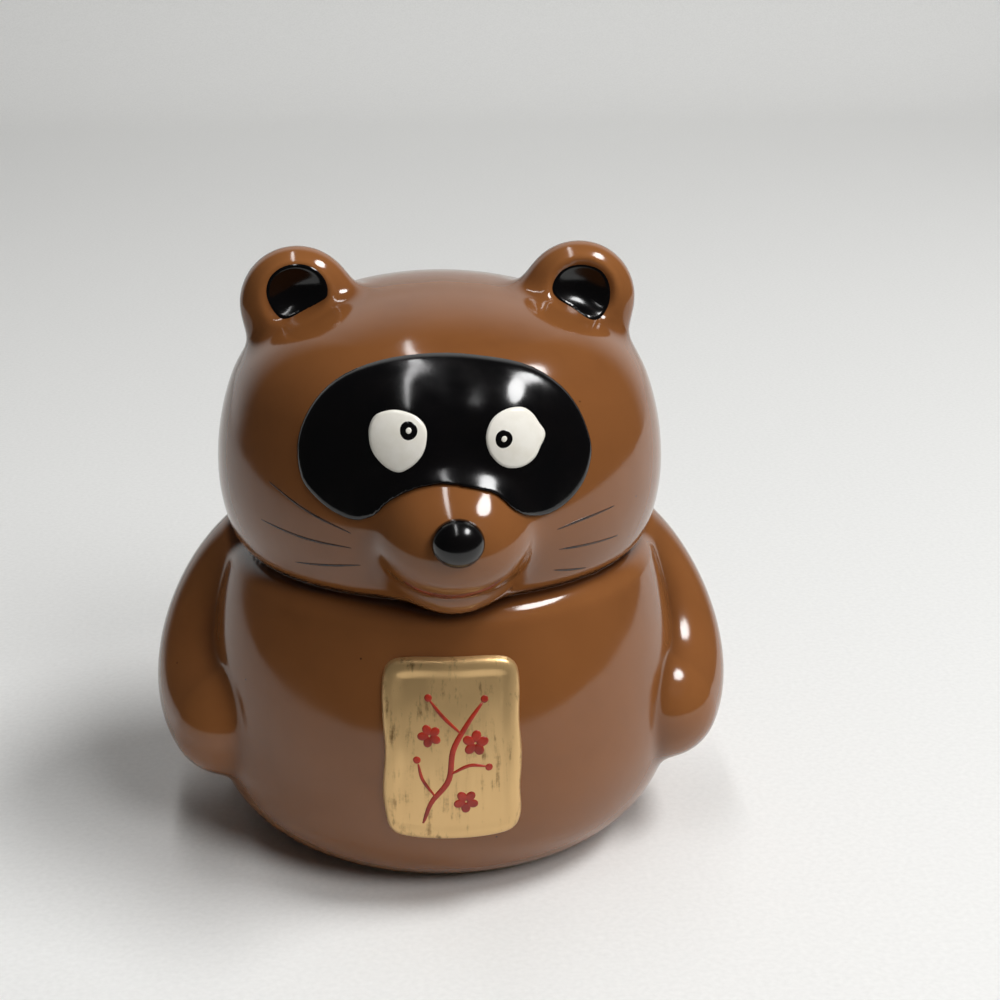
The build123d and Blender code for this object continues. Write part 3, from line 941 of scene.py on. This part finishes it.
class TANUKI_OT_lines(bpy.types.Operator):
    """Brushed whiskers and the line of the mouth"""
    bl_idname = "tanuki.lines"
    bl_label = "Whiskers and mouth"

    def execute(self, context):
        sizes = context.scene.tanuki_forms
        lift = sizes.paint_lift * 0.4
        for number, path in enumerate(WHISKERS):
            piece = stroke(f"whisker_{number}", head_outside, np.array(path) * MM, sizes.whisker_width, lift,
                           finish_of("line"))
        piece = stroke("mouth_line", head_outside, np.array(MOUTH) * MM, MOUTH_WIDTH, lift, finish_of("mouth"),
                       steps=40)
        return {"FINISHED"}


# A plum sprig for the plaque, in millimetres: branch and twigs as strokes with their widths, blossoms as places
# with their sizes and turns, and buds as places
SPRIG = (
    (((-5.4, 16.8), (-4.0, 20.8), (-1.2, 24.8), (-0.4, 30.0), (1.9, 34.2), (4.4, 37.6)), 0.95),
    (((-0.9, 25.8), (2.2, 27.2), (4.9, 26.9)), 0.6),
    (((-3.4, 21.8), (-5.4, 24.8), (-6.1, 27.6)), 0.55),
    (((0.8, 32.8), (-2.0, 35.6), (-4.0, 38.2)), 0.6),
)
BLOSSOMS = (((3.2, 31.0), 1.9, 10.0), ((-4.2, 32.4), 1.7, 40.0), ((1.6, 20.8), 1.8, -20.0))
BUDS = ((4.8, 38.2), (-4.3, 38.7), (5.4, 26.7), (-6.3, 28.3))
SPRIG_SHIFT = np.array((-0.4, 0.0))
PETALS = 5
# Place and size of a petal as shares of its blossom's size
PETAL_OUT, PETAL_SIZE = 0.62, 0.48
BUD_RADIUS = 0.62 * MM


class TANUKI_OT_plaque(bpy.types.Operator):
    """Gold lustre plaque on the belly, with a brushed plum sprig"""
    bl_idname = "tanuki.plaque"
    bl_label = "Plaque"

    def execute(self, context):
        low, high = box_round("belly_plaque")
        piece = cast("plaque_gilded", plaque_skin, low - MM, high + MM, PLAQUE_CELL, finish_of("gold"))
        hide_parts("belly_plaque")
        lift, red = context.scene.tanuki_forms.paint_lift, finish_of("red")
        for n, (path, width) in enumerate(SPRIG):
            line = (np.array(path) + SPRIG_SHIFT) * MM
            stroke(f"sprig_{n}", plaque_skin, line, width * MM, lift, red, blunt=0.35)
        for n, (middle, size, turn) in enumerate(BLOSSOMS):
            for petal in range(PETALS):
                way = math.radians(turn + 360 / PETALS * petal)
                out = size * PETAL_OUT * np.array((math.cos(way), math.sin(way)))
                spot = (np.array(middle) + SPRIG_SHIFT + out) * MM
                patch(f"blossom_{n}_petal_{petal}", plaque_skin, spot,
                                   lambda a: size * PETAL_SIZE * MM * (1 + 0.12 * np.cos(2 * (a - way))),
                                   lift, red, rings=5, spokes=32)
        for n, middle in enumerate(BUDS):
            spot = (np.array(middle) + SPRIG_SHIFT) * MM
            patch(f"bud_{n}", plaque_skin, spot, lambda a: np.full_like(a, BUD_RADIUS), lift, red,
                               rings=4, spokes=28)
        return {"FINISHED"}


class TANUKI_OT_stopper(bpy.types.Operator):
    """Soft vinyl stopper in the foot"""
    bl_idname = "tanuki.stopper"
    bl_label = "Stopper"

    def execute(self, context):
        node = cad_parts["base_stopper"]
        node.data.materials.clear()
        node.data.materials.append(finish_of("vinyl"))
        return {"FINISHED"}


# Stage, in metres

# The floor's sheet: middle and radius of its round front, where it starts to bend up, the bend and its top
SHEET_X, SHEET_Y, SHEET_RADIUS = 0.05, 0.27, 0.46
SHEET_END, SHEET_BEND, SHEET_TOP = 0.8, 0.15, 0.6
# The sheet lies a hair under the foot, so that the two never share a plane
SHEET_Z = -0.2 * MM

# Lamps: place, aim, the way their first side runs, both sides, and whether they show in the glaze
LAMPS = {
    "broad": ((0.72, -0.15, 1.2), (0.0, 0.0, 0.05), (0.0, 1.0, 0.0), (0.7, 0.36), True),
    "strip": ((-0.12, -0.05, 1.2), (-0.12, -0.05, 0.0), (0.0, 1.0, 0.0), (1.4, 0.08), True),
    "fill": ((0.5, -0.7, 0.75), (0.0, 0.0, 0.05), (1.0, 0.0, 0.0), (0.5, 0.5), False),
}

CAMERA_PLACE = (-18.65 * MM, -333.65 * MM, 176.1 * MM)
CAMERA_DOWN, CAMERA_TURN = math.radians(19.52), math.radians(-5.0)


def paper_floor(tone):
    """Matt paper: a plain pale floor that takes soft shadows, seen through from below to show the foot."""
    material, tree, place = new_material("matt_paper_floor")
    # Paper fibre about 1 mm long, almost too faint to see
    fibre = add(tree, "TexNoise", {"Vector": place, "Scale": 1 / MM, "Detail": 2.0})
    mix = add(tree, "Mix", {"Factor": fibre, 6: opaque(tone), 7: opaque(linear("#E4E4E2"))}, data_type="RGBA")
    shader = add(tree, "BsdfPrincipled", {"Base Color": mix, "Roughness": 0.8})
    under = add(tree, "NewGeometry").outputs["Backfacing"]
    eye = add(tree, "LightPath").outputs["Is Camera Ray"]
    below = add(tree, "Math", {0: under, 1: eye}, operation="MULTIPLY")
    sheet = add(tree, "MixShader", {0: below, 1: shader, 2: add(tree, "BsdfTransparent")})
    add(tree, "OutputMaterial", {"Surface": sheet})
    return material


def floor_sheet(material):
    """Sheet with a round front that lies flat to well behind the figure, then bends up."""
    turn = [math.radians(a) for a in range(180, 361, 5)]
    points = [(SHEET_X + SHEET_RADIUS * math.cos(a), SHEET_Y + SHEET_RADIUS * math.sin(a), 0.0) for a in turn]
    front = len(points)
    bend = [math.radians(a) for a in range(0, 91, 10)]
    line = [(SHEET_Y, 0.0)]
    line += [(SHEET_END + SHEET_BEND * math.sin(a), SHEET_BEND * (1 - math.cos(a))) for a in bend]
    line += [(SHEET_END + SHEET_BEND, SHEET_TOP)]
    points += [(x, y, z) for y, z in line for x in (SHEET_X - SHEET_RADIUS, SHEET_X + SHEET_RADIUS)]
    faces = [tuple(range(front))]
    for left in range(front, front + 2 * len(line) - 2, 2):
        faces.append((left, left + 1, left + 3, left + 2))
    mesh = bpy.data.meshes.new("floor")
    mesh.from_pydata(points, [], faces)
    mesh.shade_smooth()
    mesh.materials.append(material)
    floor = bpy.data.objects.new("floor", mesh)
    floor.location.z = SHEET_Z
    bpy.context.scene.collection.objects.link(floor)
    floor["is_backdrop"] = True


def room_light(sky):
    """Room, pale behind the figure to the eye and in the glaze, lit under the floor, and dim elsewhere."""
    world = bpy.data.worlds.new("room")
    world.use_nodes = True
    room = world.node_tree
    path = add(room, "LightPath").outputs
    way = add(room, "SeparateXYZ", {"Vector": add(room, "TexCoord").outputs["Generated"]}).outputs
    behind = add(room, "MapRange", {"Value": way["Y"], "From Min": 0.5, "From Max": 0.8},
                 interpolation_type="SMOOTHSTEP")
    glossy = add(room, "Math", {0: path["Is Glossy Ray"], 1: behind}, operation="MULTIPLY")
    below = add(room, "MapRange", {"Value": way["Z"], "From Min": -0.6, "From Max": -0.8})
    lit = add(room, "Math", {0: glossy, 1: below}, operation="MAXIMUM")
    seen = add(room, "Math", {0: path["Is Camera Ray"], 1: lit}, operation="MAXIMUM")
    strength = add(room, "Mix", {"Factor": seen, 2: sky, 3: 0.85}, data_type="FLOAT")
    background = room.nodes["Background"]
    room.links.new(strength.outputs[0], background.inputs["Strength"])
    background.inputs["Color"].default_value = opaque(linear("#F4F4F2"))
    return world


def hang_lamp(name, watts):
    """Area lamp, turned so that its first side runs as its row says."""
    spot, aim, along, size, mirrored = LAMPS[name]
    lamp = bpy.data.lights.new(name, "AREA")
    lamp.shape = "ELLIPSE"
    lamp.energy = watts
    lamp.size, lamp.size_y = size
    holder = bpy.data.objects.new(name, lamp)
    back = (Vector(spot) - Vector(aim)).normalized()
    across = back.cross(Vector(along)).normalized()
    holder.matrix_world = Matrix((across.cross(back), across, back)).transposed().to_4x4()
    holder.location = spot
    holder.visible_glossy = mirrored
    bpy.context.scene.collection.objects.link(holder)


def stand_camera(focal_length):
    lens = bpy.data.cameras.new("camera")
    lens.lens = focal_length
    lens.sensor_width = 36.0
    lens.clip_start = 0.01
    camera = bpy.data.objects.new("camera", lens)
    camera.location = CAMERA_PLACE
    camera.rotation_euler = (math.radians(90.0) - CAMERA_DOWN, 0.0, CAMERA_TURN)
    bpy.context.scene.collection.objects.link(camera)
    return camera


class TANUKI_OT_stage(bpy.types.Operator):
    """Plain pale floor, soft lamps and the camera"""
    bl_idname = "tanuki.stage"
    bl_label = "Stage"

    def execute(self, context):
        scene, stage = context.scene, context.scene.tanuki_stage
        floor_sheet(paper_floor(stage.floor))
        scene.world = room_light(stage.sky)
        for name in LAMPS:
            hang_lamp(name, getattr(stage, name))
        scene.camera = stand_camera(stage.lens)
        scene.view_settings.view_transform = "Standard"
        return {"FINISHED"}


OPERATORS = (TANUKI_OT_head, TANUKI_OT_torso, TANUKI_OT_mask, TANUKI_OT_eyes, TANUKI_OT_nose,
             TANUKI_OT_ear_linings, TANUKI_OT_lines, TANUKI_OT_plaque, TANUKI_OT_stopper, TANUKI_OT_stage)


class TANUKI_PT_panel(bpy.types.Panel):
    """Lists the steps that build the bank"""
    bl_idname = "TANUKI_PT_panel"
    bl_label = "Glazed tanuki bank"
    bl_space_type = "VIEW_3D"
    bl_region_type = "UI"
    bl_category = "Tanuki"

    def draw(self, context):
        for operator in OPERATORS:
            self.layout.operator(operator.bl_idname)
        for group in (context.scene.tanuki_forms, context.scene.tanuki_colours, context.scene.tanuki_stage):
            for key in group.bl_rna.properties.keys():
                if key not in {"rna_type", "name"}:
                    self.layout.prop(group, key)


GROUPS = (
    ("tanuki_forms", TANUKI_PG_forms),
    ("tanuki_colours", TANUKI_PG_colours),
    ("tanuki_stage", TANUKI_PG_stage),
)


def register():
    for key, group in GROUPS:
        bpy.utils.register_class(group)
        setattr(bpy.types.Scene, key, bpy.props.PointerProperty(type=group))
    for cls in (*OPERATORS, TANUKI_PT_panel):
        bpy.utils.register_class(cls)


def unregister():
    for cls in reversed((*OPERATORS, TANUKI_PT_panel)):
        bpy.utils.unregister_class(cls)
    for key, group in reversed(GROUPS):
        delattr(bpy.types.Scene, key)
        bpy.utils.unregister_class(group)


def main():
    register()
    bpy.ops.tanuki.head()
    bpy.ops.tanuki.torso()
    bpy.ops.tanuki.mask()
    bpy.ops.tanuki.eyes()
    bpy.ops.tanuki.nose()
    bpy.ops.tanuki.ear_linings()
    bpy.ops.tanuki.lines()
    bpy.ops.tanuki.plaque()
    bpy.ops.tanuki.stopper()
    bpy.ops.tanuki.stage()
    boxes = {"cad": CAD_BOX, "visual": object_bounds()}
    {key: [list(map(float, corner)) for corner in box] for key, box in boxes.items()}


if __name__ == "__main__":
    main()
